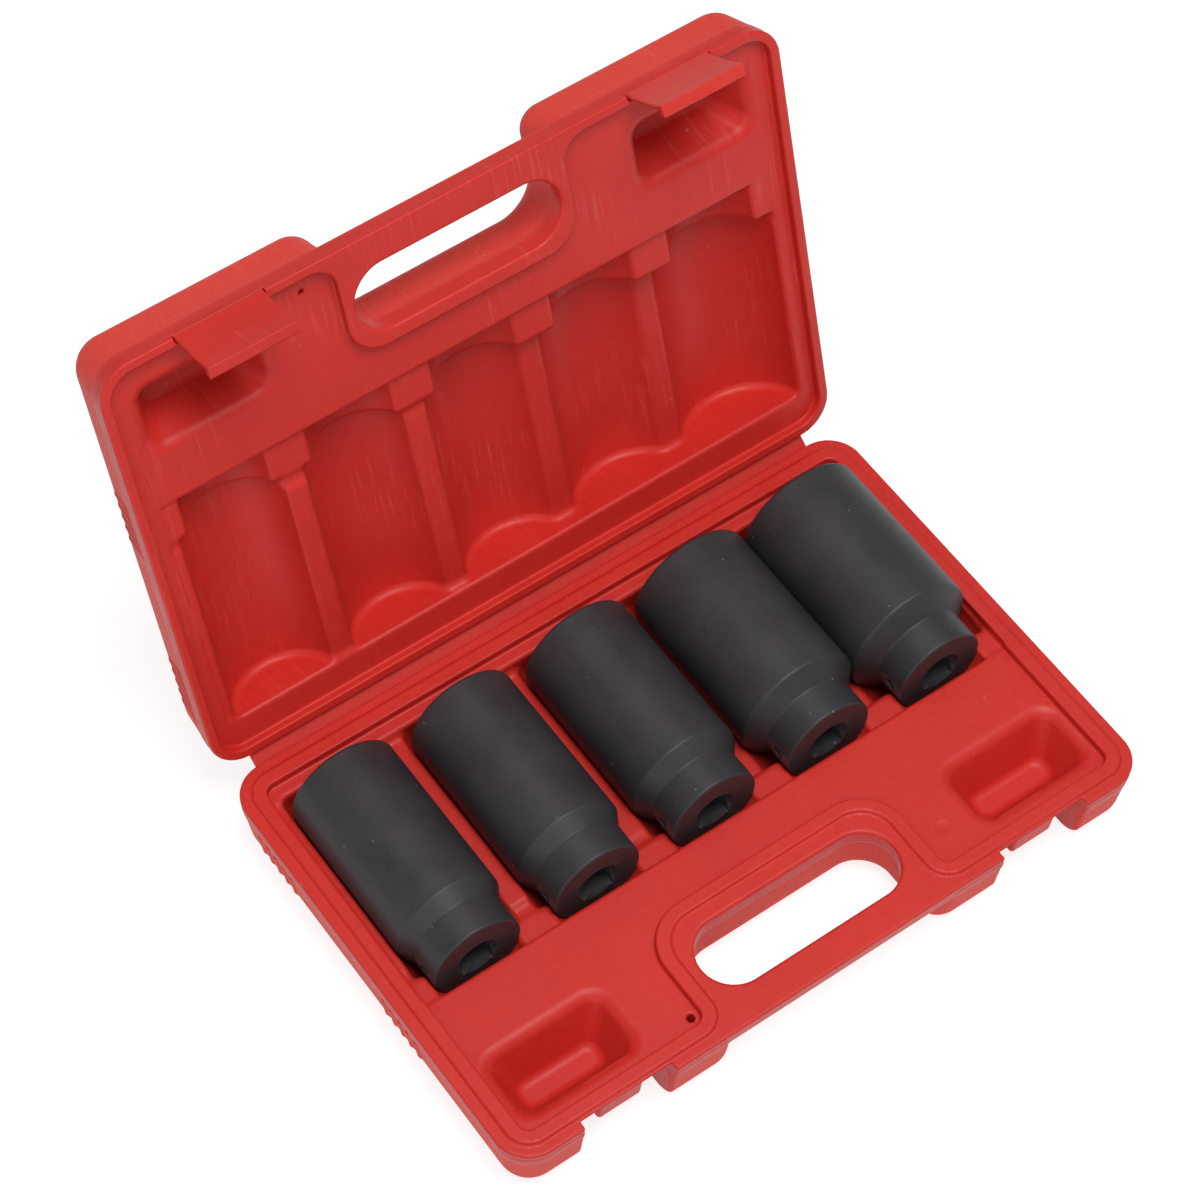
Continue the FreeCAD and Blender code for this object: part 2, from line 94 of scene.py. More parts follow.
# Pockets and vents
POCKET_XY = (98.85, -62.5)
POCKET_HALF = (24.0, 13.0)
POCKET_DEPTH = 17.8
POCKET_CORNER = 6.0
POCKET_FLOOR_CORNER = 4.5
POCKET_SLOPE = math.tan(math.radians(24.0))
POCKET_FLOOR_ROUND = 2.2
POCKET_EDGE_ROUND = 3.0
VENT_DEPTH = 9.0
DIMPLE_XY = (61.6, -67.7)
DIMPLE_RADIUS = 3.0
DIMPLE_DEPTH = 0.25

# Latches
LATCH_X = 89.65
NOTCH_HALF = 18.8
NOTCH_CEILING = -4.5
NOTCH_SLOPE = 0.4
NOTCH_LIP_Y = FRONT_Y + 3.2
NOTCH_REAR_Y = FRONT_Y + 9.0
CATCH_HALF = 9.0
CATCH_FRONT_Y = FRONT_Y + 5.4
CATCH_SLOPE = 0.12
CATCH_LOW_Z = -16.6
CATCH_OVERLAP = 1.0
CATCH_ROOT = 7.05
TAB_SHIFT = 1.4
TAB_HALF = 17.0
TAB_THICKNESS = 2.0
TAB_LENGTH = 23.0
TAB_HOLLOW = 0.7
TAB_ROUND = 0.6
TAB_GAP = 0.3
LIP_DEPTH = 2.6
LIP_HEIGHT = 3.4
RIGHT_TAB_OUT = math.radians(16.0)

# Side grips
GRIP_YS = (-18.15, 60.15)
GRIP_PITCH = 5.0
GRIP_SIDE_COUNT = 2
GRIP_RADIUS = 1.6
GRIP_PROUD = 0.7
GRIP_Z = (-21.0, -8.0)

# Grain of the outside, which also places the painted sheen there, and fades out below the rim
GRAIN_RIM_FADE = 0.5
GRAIN_UNDER_GAIN = 3
GRAIN_TOP = 6.5
GRAIN_FADE = 2.0
RIGHT_TAB_GRAIN = 0.35

# Hinge
FOLD_Y = CASE_DEPTH / 2 + 0.8
WEB_SPAN = 6.0
BASE_FOLD_Z = HALF_HEIGHT + SEAM_GAP / 2 - WEB_SPAN / 2
LID_OPEN = math.radians(105.72)

# What differs between the halves; a vent is x, y and radius
BASE = {
    "name": "base_half",
    "body": "base",
    "nodes": ("base_outer_shell", "base_inner_tray"),
    "flange": FLANGE,
    "drop": 2.2,
    "height": HALF_HEIGHT,
    "bar": BAR_THICKNESS,
    "front_y": -21.0,
    "axis_z": 0.0,
    "vent": (-55.0, -77.0, 1.5),
}
LID = {
    "name": "lid_half",
    "body": "lid",
    "nodes": ("lid_outer_shell", "lid_inner_tray"),
    "flange": FLANGE - RIDGE_GAP,
    "drop": 3.5,
    "height": HALF_HEIGHT + LID_EXTRA,
    "bar": BAR_THICKNESS + LID_EXTRA,
    "front_y": -26.8,
    "axis_z": SEAM_GAP,
    "vent": (-57.5, -80.2, 1.1),
}


# Distance fields

def both(a, b, r):
    """Where both are solid, with the shared edge rounded."""
    corner = np.hypot(np.maximum(a + r, 0), np.maximum(b + r, 0))
    return np.minimum(np.maximum(a, b), -r) + corner


def either(a, b, r):
    """Where one or the other is solid, with the shared corner filled."""
    corner = np.hypot(np.maximum(r - a, 0), np.maximum(r - b, 0))
    return np.maximum(np.minimum(a, b), r) - corner


def without(a, b, r):
    """The first less the second, with the shared edge rounded."""
    return both(a, -b, r)


def round_box(x, y, half_x, half_y, radius):
    """Rectangle about the origin with rounded corners."""
    qx = np.abs(x) - (half_x - radius)
    qy = np.abs(y) - (half_y - radius)
    corner = np.hypot(np.maximum(qx, 0), np.maximum(qy, 0))
    return corner + np.minimum(np.maximum(qx, qy), 0) - radius


def open_front(x, y, half_x, rear_y, radius):
    """Area from rear_y forwards, open towards the front."""
    far = CASE_DEPTH
    return round_box(x, y - rear_y + far, half_x, far, radius)


def rim_area(x, y, flange):
    """Area inside the rim's flange, which bends round the handle slot."""
    half_x, half_y = CASE_LENGTH / 2 - flange, CASE_DEPTH / 2 - flange
    area = round_box(x, y, half_x, half_y, RIM_CORNER - flange)
    spare = FLANGE - flange
    band_x = SLOT_HALF[0] + SLOT_BAND[0] - spare
    band_y = SLOT_MIDDLE_Y + SLOT_HALF[1] + SLOT_BAND[1] - spare
    return without(area, open_front(x, y, band_x, band_y, BAY_CORNER), BAND_BEND)


def outer_form(x, y, z, half):
    """Outside of one half: drafted walls, the handle bar and the bay under it."""
    lean = np.maximum(-z, 0) * WALL_SLOPE
    wall = round_box(x, y, CASE_LENGTH / 2 - lean, CASE_DEPTH / 2 - lean, RIM_CORNER - lean)
    plate = both(both(wall, -half["bar"] - z, RIM_ROUND), z, RIM_ROUND)
    bay = open_front(x, y, BAY_HALF, BAY_REAR_Y, BAY_CORNER)
    lower = both(wall, -half["height"] - z, UNDERSIDE_ROUND)
    lower = np.maximum(without(lower, bay, BAY_ROUND), z + half["bar"] / 2)
    body = either(plate, lower, RIM_ROUND)
    slot = round_box(x, y - SLOT_MIDDLE_Y, SLOT_HALF[0], SLOT_HALF[1], SLOT_HALF[1])
    return without(body, slot, SLOT_ROUND)


def rib_drop(radius_a, radius_b, width, least):
    """How far below the rim a rib of this width has its flat top."""
    half_gap = (SOCKET_PITCH - width) / 2
    mean = (radius_a + radius_b) / 2
    return math.sqrt(max(mean * mean - half_gap * half_gap, least * least))


def bed_row(x, z, radii, width, half):
    """Half-round beds side by side with flat-topped ribs between them."""
    tubes = None
    for centre, radius in zip(SOCKET_XS, radii):
        tube = np.hypot(x - centre, z - half["axis_z"]) - radius
        tubes = tube if tubes is None else np.minimum(tubes, tube)
    drops = [rib_drop(a, b, width, half["drop"]) for a, b in zip(radii, radii[1:])]
    drops = [half["drop"]] + drops + [half["drop"]]
    top = np.zeros_like(x)
    for left, drop in zip([-CASE_LENGTH] + SOCKET_XS, drops):
        top = np.where(x > left, drop, top)
    return either(tubes, -top - z, RIB_ROUND)


def beds(x, y, z, half):
    """The room for the sockets: bodies behind, collars in front."""
    bodies = bed_row(x, z, BED_RADII, RIB_WIDTH, half)
    bodies = both(bodies, BED_STEP_Y - y, RIB_ROUND)
    bodies = both(bodies, y - BED_REAR_Y, BED_END_ROUND)
    collars = bed_row(x, z, COLLAR_RADII, PAD_WIDTH, half)
    rear = BED_STEP_Y + PAD_ROUND
    middle = (half["front_y"] + rear) / 2
    collars = both(collars, np.abs(y - middle) - (rear - half["front_y"]) / 2, RIM_ROUND)
    return both(either(bodies, collars, PAD_ROUND), np.abs(x) - BED_SIDE_X, RIB_ROUND)


def pocket(x, y, z, half):
    """Small-parts pockets with sloping walls, mirrored in x."""
    depth = np.maximum(-half["drop"] - z, 0)
    inset = depth * POCKET_SLOPE
    corner = POCKET_CORNER - depth / POCKET_DEPTH * (POCKET_CORNER - POCKET_FLOOR_CORNER)
    walls = round_box(np.abs(x) - POCKET_XY[0], y - POCKET_XY[1],
                      POCKET_HALF[0] - inset, POCKET_HALF[1] - inset, corner)
    walls = walls * math.cos(math.atan(POCKET_SLOPE))
    return both(walls, -half["drop"] - POCKET_DEPTH - z, POCKET_FLOOR_ROUND)


def grips(x, y, z):
    """Groups of upright half-round ribs on the end walls."""
    axis_x = CASE_LENGTH / 2 + z * WALL_SLOPE + GRIP_PROUD - GRIP_RADIUS
    ribs = None
    for group_y in GRIP_YS:
        step = np.clip(np.round((y - group_y) / GRIP_PITCH), -GRIP_SIDE_COUNT, GRIP_SIDE_COUNT)
        rib = np.hypot(np.abs(x) - axis_x, y - group_y - step * GRIP_PITCH) - GRIP_RADIUS
        ribs = rib if ribs is None else np.minimum(ribs, rib)
    middle = sum(GRIP_Z) / 2
    return both(ribs, np.abs(z - middle) - (GRIP_Z[1] - GRIP_Z[0]) / 2, RIM_ROUND)


def notches(x, y, z):
    """Recesses in the base's front wall for the latch tabs."""
    across = np.abs(np.abs(x) - LATCH_X) - NOTCH_HALF
    lip = NOTCH_LIP_Y - z * NOTCH_SLOPE
    rear = NOTCH_REAR_Y + (NOTCH_CEILING - z) * NOTCH_SLOPE
    back = (y - np.where(z > NOTCH_CEILING, lip, rear)) * math.cos(math.atan(NOTCH_SLOPE))
    return np.maximum(across, back)


def catches(x, y, z):
    """Pads in the notches under which the tabs hook."""
    across = np.abs(np.abs(x) - LATCH_X) - CATCH_HALF
    front = CATCH_FRONT_Y + (NOTCH_CEILING - z) * CATCH_SLOPE - y
    pad = both(both(across, front, SLOT_ROUND), CATCH_LOW_Z - z, SLOT_ROUND)
    pad = np.maximum(pad, z - NOTCH_CEILING - CATCH_OVERLAP)
    return np.maximum(pad, y - NOTCH_REAR_Y - CATCH_ROOT)


def tab_roots(x, y, z):
    """Grooves in the lid's front edge where the tabs bend."""
    left = np.abs(x + LATCH_X - TAB_SHIFT)
    right = np.abs(x - LATCH_X - TAB_SHIFT)
    across = np.minimum(left, right) - TAB_HALF - TAB_GAP
    root = TAB_THICKNESS + TAB_GAP
    return np.maximum(np.maximum(across, y - FRONT_Y - root), -root - z)


def tab_form(x, y, z):
    """Snap tab hanging from its pivot, slightly hollow outside, with a lip inside."""
    half = TAB_THICKNESS / 2
    middle = TAB_LENGTH / 2
    hollow = TAB_HOLLOW * np.maximum(1 - ((z + middle) / middle) ** 2, 0)
    plate = np.maximum(hollow - half - y, y - half)
    plate = np.minimum(np.maximum(plate, z), np.hypot(y, z) - half)
    lip = both(y - half - LIP_DEPTH, z + TAB_LENGTH - LIP_HEIGHT, TAB_ROUND)
    lip = np.maximum(lip, hollow - half - y)
    tab = both(either(plate, lip, TAB_ROUND), -TAB_LENGTH - z, TAB_ROUND)
    return both(tab, np.abs(x) - TAB_HALF, TAB_ROUND)


def half_form(x, y, z, half):
    """Distance to the surface of a whole half."""
    solid = outer_form(x, y, z, half)
    area = rim_area(x, y, half["flange"])
    if half is BASE:
        ridge = np.maximum(both(area, z - RIDGE_HEIGHT, RIDGE_ROUND), -half["drop"] - z)
        solid = either(solid, ridge, RIDGE_ROUND)
        area = area + RIDGE_WIDTH
    deck = both(area, -half["drop"] - z, RIDGE_ROUND)
    solid = without(solid, deck, RIDGE_ROUND)
    solid = without(solid, beds(x, y, z, half), BED_EDGE_ROUND)
    solid = without(solid, pocket(x, y, z, half), POCKET_EDGE_ROUND)
    solid = either(solid, grips(x, y, z), RIM_ROUND / 2)
    vent_x, vent_y, vent_radius = half["vent"]
    vent = np.hypot(x - vent_x, y - vent_y) - vent_radius
    solid = without(solid, np.maximum(vent, -VENT_DEPTH - z), RIM_ROUND / 2)
    if half is BASE:
        dimple = np.hypot(x - DIMPLE_XY[0], y - DIMPLE_XY[1]) / DIMPLE_RADIUS
        solid = solid + DIMPLE_DEPTH * np.maximum(1 - dimple ** 2, 0)
        solid = without(solid, notches(x, y, z), RIM_ROUND)
        return either(solid, catches(x, y, z), RIM_ROUND)
    return without(solid, tab_roots(x, y, z), RIM_ROUND / 2)


# Meshing

CORNERS = [(i, j, k) for i in (0, 1) for j in (0, 1) for k in (0, 1)]
NUDGE = 0.05
SETTLE_ROUNDS = 3
LEAST_SLOPE = 0.25
GRID_MARGIN = 3
TINY = 1e-6


def surface_net(values, origin, step):
    """Quads through the grid cells that the surface crosses."""
    inside = values < 0
    shape = [n - 1 for n in values.shape]
    count = np.zeros(shape, np.int8)
    for i, j, k in CORNERS:
        count += inside[i:i + shape[0], j:j + shape[1], k:k + shape[2]]
    cells = np.argwhere((count > 0) & (count < len(CORNERS)))
    index = np.full(shape, -1, np.int32)
    index[tuple(cells.T)] = np.arange(len(cells))
    at = [values[tuple((cells + corner).T)] for corner in CORNERS]
    total = np.zeros((len(cells), 3))
    hits = np.zeros(len(cells))
    for a, corner_a in enumerate(CORNERS):
        for b, corner_b in enumerate(CORNERS):
            if a < b and sum(abs(p - q) for p, q in zip(corner_a, corner_b)) == 1:
                crossed = (at[a] < 0) != (at[b] < 0)
                gap = np.where(crossed, at[a] - at[b], 1.0)
                share = np.where(crossed, at[a] / gap, 0.0)
                way = np.subtract(corner_b, corner_a)
                hit = np.array(corner_a) + share[:, None] * way
                total += np.where(crossed[:, None], hit, 0.0)
                hits += crossed
    points = origin + (cells + total / hits[:, None]) * step
    quads = []
    for axis in range(3):
        u = np.roll((1, 0, 0), axis + 1)
        v = np.roll((1, 0, 0), axis + 2)
        first = np.take(inside, range(values.shape[axis] - 1), axis)
        second = np.take(inside, range(1, values.shape[axis]), axis)
        edges = np.argwhere(first != second)
        edges = edges[np.all(edges - u - v >= 0, axis=1)]
        around = [index[tuple((edges - shift).T)] for shift in (0 * u, u, u + v, v)]
        ring = np.stack(around, 1)
        starts_inside = first[tuple(edges.T)]
        quads.append(np.where(starts_inside[:, None], ring, ring[:, ::-1]))
    return points, np.concatenate(quads)


def slopes(points, form):
    """Gradient of the distance at each point."""
    rows = []
    for axis in range(3):
        shift = np.zeros(3)
        shift[axis] = NUDGE
        rise = form(*(points + shift).T) - form(*(points - shift).T)
        rows.append(rise / (2 * NUDGE))
    return np.stack(rows, 1)


def settle(points, form, limit):
    """Points drawn onto the surface, with their normals."""
    for _ in range(SETTLE_ROUNDS):
        slope = slopes(points, form)
        size = np.maximum((slope ** 2).sum(1), LEAST_SLOPE)
        step = np.clip(form(*points.T) / size, -limit, limit)
        points = points - step[:, None] * slope
    slope = slopes(points, form)
    return points, slope / np.maximum(np.linalg.norm(slope, axis=1), TINY)[:, None]


def sampled(form, low, high, step):
    """Points, normals and quads of the surface inside a box."""
    low = np.array(low) - GRID_MARGIN * step
    xs, ys, zs = [np.arange(a, b + GRID_MARGIN * step, step) for a, b in zip(low, high)]
    values = form(xs[:, None, None], ys[None, :, None], zs[None, None, :])
    points, quads = surface_net(values, low, step)
    return settle(points, form, step / 2) + (quads,)


def turned_about(place, fold_z):
    """A place turned by half of the lid's opening about one fold line."""
    pivot = Matrix.Translation((0, FOLD_Y, fold_z))
    return pivot @ Matrix.Rotation(-LID_OPEN / 2, 4, "X") @ pivot.inverted() @ place


def opened(place):
    """A place on the closed lid, carried to the open lid."""
    return turned_about(turned_about(place, BASE_FOLD_Z + WEB_SPAN), BASE_FOLD_Z)


def make_piece(name, surface, grain, place, body, nodes):
    """Mesh object from a sampled surface, at its place and riding its body."""
    points, normals, quads = surface
    matrix = np.array(Matrix.Scale(MM, 4) @ place)
    turn = np.array(place)[:3, :3]
    if np.linalg.det(turn) < 0:
        quads = quads[:, ::-1]
    mesh = bpy.data.meshes.new(name)
    mesh.vertices.add(len(points))
    places = points @ matrix[:3, :3].T + matrix[:3, 3]
    mesh.vertices.foreach_set("co", places.astype(np.float32).ravel())
    mesh.loops.add(quads.size)
    mesh.loops.foreach_set("vertex_index", quads.astype(np.int32).ravel())
    mesh.polygons.add(len(quads))
    mesh.polygons.foreach_set("loop_start", np.arange(0, quads.size, 4, dtype=np.int32))
    mesh.update(calc_edges=True)
    mesh.validate()
    area = mesh.attributes.new("grain", "FLOAT", "POINT")
    area.data.foreach_set("value", grain.astype(np.float32))
    mesh.polygons.foreach_set("use_smooth", np.ones(len(mesh.polygons), bool))
    mesh.normals_split_custom_set_from_vertices(normals @ turn.T)
    piece = bpy.data.objects.new(name, mesh)
    bpy.context.scene.collection.objects.link(piece)
    mesh.materials.append(case_plastic)
    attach(piece, body)
    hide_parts(*nodes)


def make_half(half):
    """One half of the case, with grain on its outside."""
    corner = (CASE_LENGTH / 2, CASE_DEPTH / 2)
    low = (-corner[0], -corner[1], -half["height"])
    high = corner + (RIDGE_HEIGHT,)
    surface = sampled(lambda x, y, z: half_form(x, y, z, half), low, high, VOXEL)
    points, normals = surface[:2]
    area = rim_area(points[:, 0], points[:, 1], half["flange"])
    outside = np.clip((area + GRAIN_RIM_FADE) / GRAIN_RIM_FADE, 0, 1)
    outside = np.maximum(outside, np.clip(-normals[:, 2] * GRAIN_UNDER_GAIN, 0, 1))
    deep = np.clip((-points[:, 2] - GRAIN_TOP) / GRAIN_FADE, 0, 1)
    place = Matrix.Translation((0, 0, HALF_HEIGHT))
    if half is LID:
        flipped = Matrix.Diagonal((1, 1, -1, 1))
        place = opened(Matrix.Translation((0, 0, HALF_HEIGHT + SEAM_GAP)) @ flipped)
    make_piece(half["name"], surface, outside * deep, place,
               half["body"], half["nodes"])


def make_tab(word, x, outward, grain):
    """One latch tab, turned outwards about the root of the closed lid's tab."""
    half = TAB_THICKNESS / 2
    low = (-TAB_HALF, -half, -TAB_LENGTH)
    high = (TAB_HALF, half + LIP_DEPTH, half)
    surface = sampled(tab_form, low, high, TAB_VOXEL)
    root_z = HALF_HEIGHT + SEAM_GAP + half
    pivot = Matrix.Translation((x + TAB_SHIFT, FRONT_Y + half, root_z))
    place = opened(pivot @ Matrix.Rotation(-outward, 4, "X"))
    area = np.full(len(surface[0]), grain)
    make_piece("tab_" + word, surface, area, place,
               "latch_" + word, ["latch_tab_" + word])


# Materials, with noise scales per metre

WHITE = (1, 1, 1, 1)
RED_DEEP = (0.530, 0.0195, 0.0135, 1)
RED_LIGHT = (0.585, 0.0245, 0.017, 1)
RED_MOTTLED = (0.62, 0.036, 0.026, 1)
RED_SCUFFED = (0.80, 0.36, 0.33, 1)
RED_STREAKED = (0.78, 0.22, 0.185, 1)
# Paler, brighter red of the painted sheen and painted light on the grained outside
RED_PAINTED_SHEEN = (0.97, 0.110, 0.076, 1)
CASE_SPECULAR = 0.32
CLOUD_SCALE = 28.0
MOTTLE_SCALE = 420.0
MOTTLE_SHARE = 0.22
FLECK_SCALE = 620.0
FLECK_STRETCH = (1.0, 0.22, 0.5)
PATCH_SCALE = 45.0
SCUFF_SHARE = 0.45
STREAK_SCALE = 800.0
STREAK_STRETCH = (1.0, 0.05, 0.05)
STREAK_HEIGHTS = (0.03, 0.07)
STREAK_SHARES = (0.02, 0.15)
RUBBED_SCALE = 26.0
PIT_SCALE = 1500.0
PAINTED_SHEEN_SHARES = (0.14, 0.46)
CASE_ROUGHNESS = (0.40, 0.50)
GRAIN_ROUGHNESS = 0.16
SCUFF_ROUGHNESS = 0.15
GRAIN_SCALE = 900.0
SMOOTH_RELIEF = 0.10
GRAIN_BUMP = {"Strength": 0.55, "Distance": 0.00022}

BLACK_DEEP = (0.025, 0.025, 0.028, 1)
BLACK_LIGHT = (0.036, 0.035, 0.039, 1)
BLACK_PITTED = (0.058, 0.057, 0.061, 1)
STEEL_SPECK = (0.42, 0.42, 0.42, 1)
STEEL_WORN = (0.11, 0.11, 0.115, 1)
STEEL_METALLIC = 0.25
STEEL_CLOUD_SCALE = 60.0
STEEL_PIT_SCALE = 1300.0
STEEL_PIT_SHARE = 0.30
SPECK_SCALE = 520.0
SPECK_SHARE = 0.6
WORN_SHARE = 0.35
STEEL_ROUGHNESS = (0.46, 0.56)
STEEL_BUMP = {"Strength": 0.35, "Distance": 0.00012}

FLOOR_BOUNCE = (0.88, 0.88, 0.88, 1)
FLOOR_SEEN = (0.36, 0.36, 0.36, 1)
FLOOR_GLOW = 0.80

# Spans of a noise that a ramp spreads out
SOFT = (0.3, 0.7)
FIRM = (0.35, 0.65)
PITTED = (0.35, 0.7)
FLECK_PEAKS = (0.71, 0.76)
SPECK_PEAKS = (0.79, 0.82)
STREAK_PEAKS = (0.54, 0.72)
PATCHES = (0.56, 0.66)
RUBBED_PATCHES = (0.46, 0.60)
EDGES = (0.52, 0.60)

# Sockets of a mix node that take and give colours
MIX_INPUTS = (0, 6, 7)
MIX_RESULT = 2


class Nodes:
    """Short calls for building a node tree."""

    def __init__(self, material):
        material.use_nodes = True
        self.tree = material.node_tree
        self.tree.nodes.clear()

    def put(self, socket, value):
        """Link another node's output to a socket, or set a constant on it."""
        if isinstance(value, bpy.types.NodeSocket):
            self.tree.links.new(value, socket)
        else:
            socket.default_value = value

    def add(self, kind, inputs=None, **settings):
        node = self.tree.nodes.new(kind)
        for name, value in settings.items():
            setattr(node, name, value)
        for name, value in (inputs or {}).items():
            self.put(node.inputs[name], value)
        return node

    def noise(self, place, scale, detail=3.0, rough=0.55):
        inputs = {"Vector": place, "Scale": scale, "Detail": detail, "Roughness": rough}
        return self.add("ShaderNodeTexNoise", inputs).outputs["Fac"]

    def stretch(self, place, scale):
        inputs = {"Vector": place, "Scale": scale}
        return self.add("ShaderNodeMapping", inputs).outputs["Vector"]

    def ramp(self, factor, span, start=0.0, end=1.0):
        inputs = {"Value": factor, "From Min": span[0], "From Max": span[1],
                  "To Min": start, "To Max": end}
        return self.add("ShaderNodeMapRange", inputs).outputs["Result"]

    def mix(self, factor, a, b):
        node = self.add("ShaderNodeMix", data_type="RGBA")
        for index, value in zip(MIX_INPUTS, (factor, a, b)):
            self.put(node.inputs[index], value)
        return node.outputs[MIX_RESULT]

    def math(self, kind, a, b):
        node = self.add("ShaderNodeMath", operation=kind)
        for socket, value in zip(node.inputs, (a, b)):
            self.put(socket, value)
        return node.outputs[0]

    def times(self, a, b):
        return self.math("MULTIPLY", a, b)

    def finish(self, shader):
        output = self.add("ShaderNodeOutputMaterial")
        self.tree.links.new(shader.outputs[0], output.inputs["Surface"])


def make_case_plastic():
    """Red moulded plastic: smooth and lightly scuffed inside, grained outside with a painted
    sheen.
    """
    material = bpy.data.materials.new("case_plastic")
    nodes = Nodes(material)
    place = nodes.add("ShaderNodeTexCoord").outputs["Object"]
    grain_and_sheen_area = nodes.add("ShaderNodeAttribute", attribute_name="grain").outputs["Fac"]

    cloud = nodes.noise(place, CLOUD_SCALE, detail=4.0)
    mottle = nodes.noise(place, MOTTLE_SCALE)
    red = nodes.mix(nodes.ramp(cloud, SOFT), RED_DEEP, RED_LIGHT)
    red = nodes.mix(nodes.ramp(mottle, FIRM, 0.0, MOTTLE_SHARE), red, RED_MOTTLED)

    fleck = nodes.stretch(place, FLECK_STRETCH)
    fleck = nodes.noise(fleck, FLECK_SCALE, detail=2.0, rough=0.5)
    patch = nodes.noise(place, PATCH_SCALE, detail=2.0)
    scuffs = nodes.times(nodes.ramp(fleck, FLECK_PEAKS), nodes.ramp(patch, PATCHES))
    red = nodes.mix(nodes.times(scuffs, SCUFF_SHARE), red, RED_SCUFFED)

    drawn = nodes.stretch(place, STREAK_STRETCH)
    drawn = nodes.noise(drawn, STREAK_SCALE, detail=2.0, rough=0.6)
    height = nodes.add("ShaderNodeSeparateXYZ", {"Vector": place}).outputs["Z"]
    in_lid = nodes.ramp(height, STREAK_HEIGHTS, *STREAK_SHARES)
    rubbed = nodes.ramp(nodes.noise(place, RUBBED_SCALE, detail=2.0), RUBBED_PATCHES)
    streaks = nodes.times(nodes.ramp(drawn, STREAK_PEAKS), nodes.times(rubbed, in_lid))
    red = nodes.mix(streaks, red, RED_STREAKED)

    # Painted sheen: the grained outside is mixed towards a paler red that stands in for light
    # on the textured plastic
    pits = nodes.noise(place, PIT_SCALE, detail=2.0)
    painted_sheen = nodes.times(grain_and_sheen_area, nodes.ramp(pits, SOFT, *PAINTED_SHEEN_SHARES))
    red = nodes.mix(painted_sheen, red, RED_PAINTED_SHEEN)

    rough = nodes.ramp(mottle, SOFT, *CASE_ROUGHNESS)
    rough = nodes.math("ADD", rough, nodes.times(grain_and_sheen_area, GRAIN_ROUGHNESS))
    rough = nodes.math("ADD", rough, nodes.times(scuffs, SCUFF_ROUGHNESS))
    relief = nodes.noise(place, GRAIN_SCALE)
    relief = nodes.times(relief, nodes.math("ADD", SMOOTH_RELIEF, grain_and_sheen_area))
    bump = nodes.add("ShaderNodeBump", {"Height": relief, **GRAIN_BUMP})
    nodes.finish(nodes.add("ShaderNodeBsdfPrincipled", {
        "Base Color": red,
        "Specular IOR Level": CASE_SPECULAR,
        "Roughness": rough,
        "Normal": bump.outputs["Normal"],
    }))
    return material


def make_socket_steel():
    """Black phosphated steel: dull satin with fine pitting and pale specks."""
    material = bpy.data.materials.new("socket_steel")
    nodes = Nodes(material)
    place = nodes.add("ShaderNodeTexCoord").outputs["Object"]

    cloud = nodes.noise(place, STEEL_CLOUD_SCALE, detail=4.0)
    pits = nodes.noise(place, STEEL_PIT_SCALE)
    black = nodes.mix(nodes.ramp(cloud, SOFT), BLACK_DEEP, BLACK_LIGHT)
    black = nodes.mix(nodes.ramp(pits, PITTED, 0.0, STEEL_PIT_SHARE), black, BLACK_PITTED)
    speck = nodes.ramp(nodes.noise(place, SPECK_SCALE, detail=1.0), SPECK_PEAKS)
    black = nodes.mix(nodes.times(speck, SPECK_SHARE), black, STEEL_SPECK)
    edge = nodes.add("ShaderNodeNewGeometry").outputs["Pointiness"]
    worn = nodes.times(nodes.ramp(edge, EDGES), WORN_SHARE)
    black = nodes.mix(worn, black, STEEL_WORN)

    rough = nodes.ramp(cloud, SOFT, *STEEL_ROUGHNESS)
    bump = nodes.add("ShaderNodeBump", {"Height": pits, **STEEL_BUMP})
    nodes.finish(nodes.add("ShaderNodeBsdfPrincipled", {
        "Base Color": black,
        "Metallic": STEEL_METALLIC,
        "Roughness": rough,
        "Normal": bump.outputs["Normal"],
    }))
    return material


def make_floor_material():
    """White floor that shows only the object's soft shadow."""
    material = bpy.data.materials.new("floor_white")
    nodes = Nodes(material)
    path = nodes.add("ShaderNodeLightPath").outputs
    seen = nodes.math("MAXIMUM", path["Is Camera Ray"], path["Is Glossy Ray"])
    white = nodes.mix(seen, FLOOR_BOUNCE, FLOOR_SEEN)
    diffuse = nodes.add("ShaderNodeBsdfDiffuse", {"Color": white})
    strength = nodes.times(seen, FLOOR_GLOW)
    glow = nodes.add("ShaderNodeEmission", {"Color": WHITE, "Strength": strength})
    nodes.finish(nodes.add("ShaderNodeAddShader", {0: diffuse.outputs[0], 1: glow.outputs[0]}))
    return material


case_plastic = make_case_plastic()
socket_steel = make_socket_steel()

make_half(BASE)
make_half(LID)
make_tab("left", -LATCH_X, 0.0, 0.0)
make_tab("right", LATCH_X, RIGHT_TAB_OUT, RIGHT_TAB_GRAIN)

for name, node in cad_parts.items():
    node.data.materials.clear()
    node.data.materials.append(socket_steel if name.startswith("socket_") else case_plastic)


# Stage, light and camera, in metres

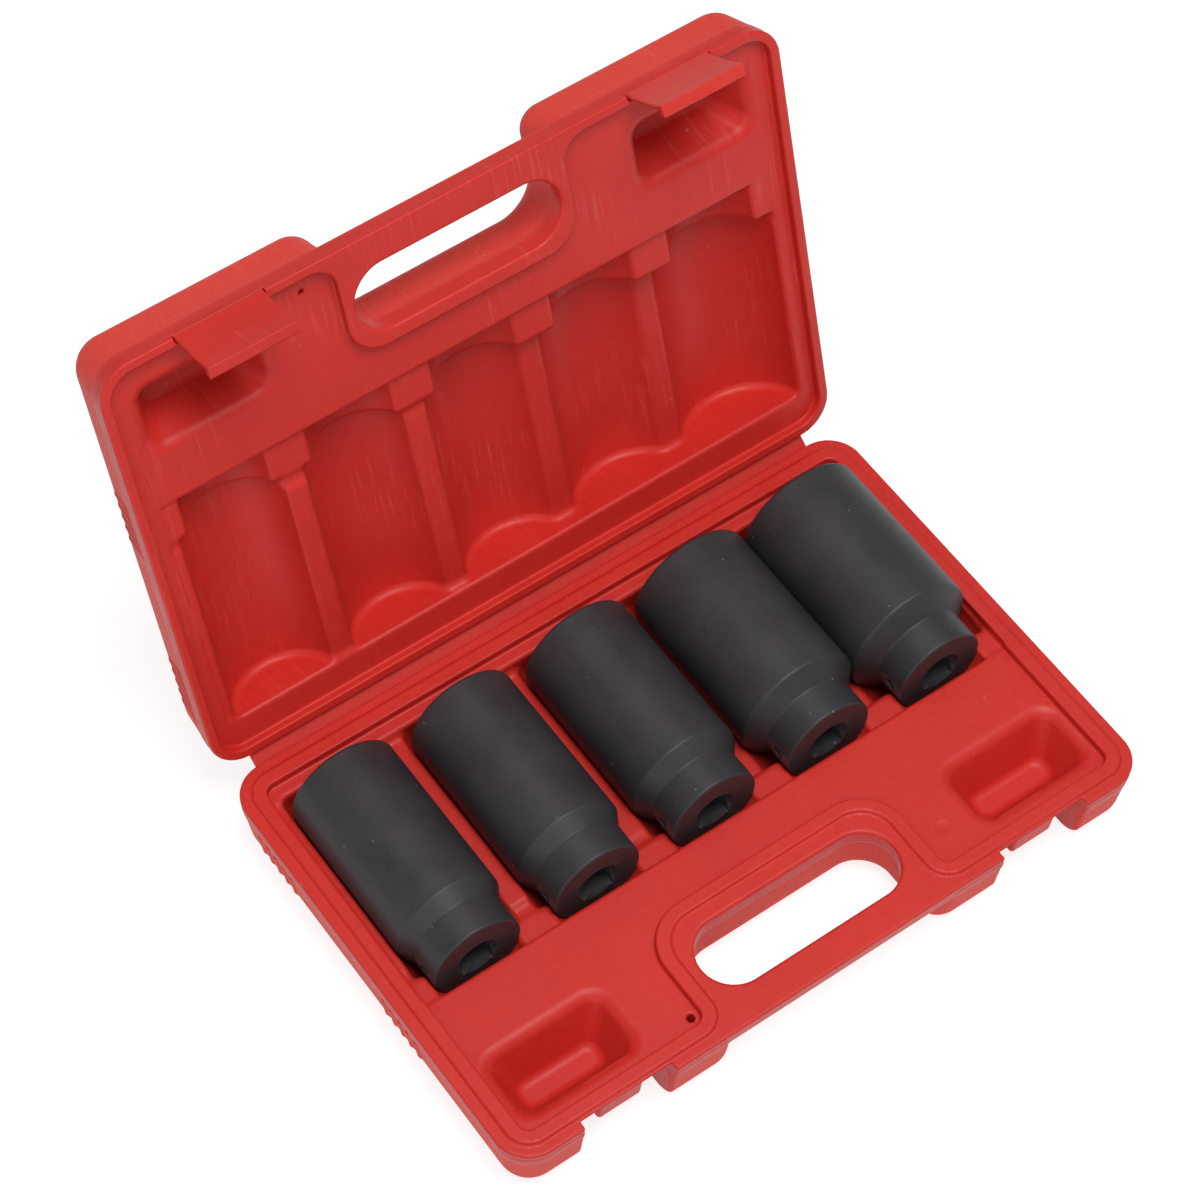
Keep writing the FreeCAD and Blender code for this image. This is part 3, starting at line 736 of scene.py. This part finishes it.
FLOOR_SIZE = 6.0
FLOOR_DROP = 0.0003
LAMP_AIM = (0, 0, 0.05)
KEY = {"place": (0.05, -0.28, 1.6), "size": 0.9, "watts": 18.5}
FILL = {"place": (-1.1, -0.8, 0.7), "size": 1.2, "watts": 3.4}
WORLD_STRENGTH = 0.36
CAMERA_PLACE = (-0.40965, -0.50891, 1.11755)
CAMERA_AZIMUTH = math.radians(-36.029)
CAMERA_ELEVATION = math.radians(56.300)
CAMERA_ROLL = math.radians(0.776)
FOCAL_PIXELS = 3584.85
PHOTO_PIXELS = 1200.0
SENSOR = 36.0

def make_floor():
    bpy.ops.mesh.primitive_plane_add(size=FLOOR_SIZE, location=(0, 0, -FLOOR_DROP))
    floor = bpy.context.object
    floor.name = "floor"
    floor.data.materials.append(make_floor_material())


def make_lamp(name, place, size, watts):
    """Round lamp that looks at the middle of the case."""
    data = bpy.data.lights.new(name, "AREA")
    data.shape = "DISK"
    data.size = size
    data.energy = watts
    lamp = bpy.data.objects.new(name, data)
    lamp.location = place
    way = Vector(LAMP_AIM) - Vector(place)
    lamp.rotation_euler = way.to_track_quat("-Z", "Y").to_euler()
    bpy.context.scene.collection.objects.link(lamp)


def make_world():
    world = bpy.data.worlds.new("studio")
    world.use_nodes = True
    background = world.node_tree.nodes["Background"].inputs
    background["Color"].default_value = WHITE
    background["Strength"].default_value = WORLD_STRENGTH
    bpy.context.scene.world = world


def make_camera():
    """Camera fitted to the photo."""
    data = bpy.data.cameras.new("camera")
    data.sensor_width = SENSOR
    data.sensor_fit = "HORIZONTAL"
    data.lens = FOCAL_PIXELS / PHOTO_PIXELS * SENSOR
    camera = bpy.data.objects.new("camera", data)
    right = Vector((math.cos(CAMERA_AZIMUTH), math.sin(CAMERA_AZIMUTH), 0))
    level = Vector((-math.sin(CAMERA_AZIMUTH), math.cos(CAMERA_AZIMUTH), 0))
    ahead = level * math.cos(CAMERA_ELEVATION) - Vector((0, 0, math.sin(CAMERA_ELEVATION)))
    up = right.cross(ahead)
    rolled_right = right * math.cos(CAMERA_ROLL) + up * math.sin(CAMERA_ROLL)
    rolled_up = up * math.cos(CAMERA_ROLL) - right * math.sin(CAMERA_ROLL)
    turn = Matrix((rolled_right, rolled_up, -ahead)).transposed().to_4x4()
    camera.matrix_world = Matrix.Translation(CAMERA_PLACE) @ turn
    bpy.context.scene.collection.objects.link(camera)
    bpy.context.scene.camera = camera

make_floor()
make_world()
make_lamp("key", **KEY)
make_lamp("fill", **FILL)
make_camera()
bpy.context.scene.view_settings.view_transform = "Standard"
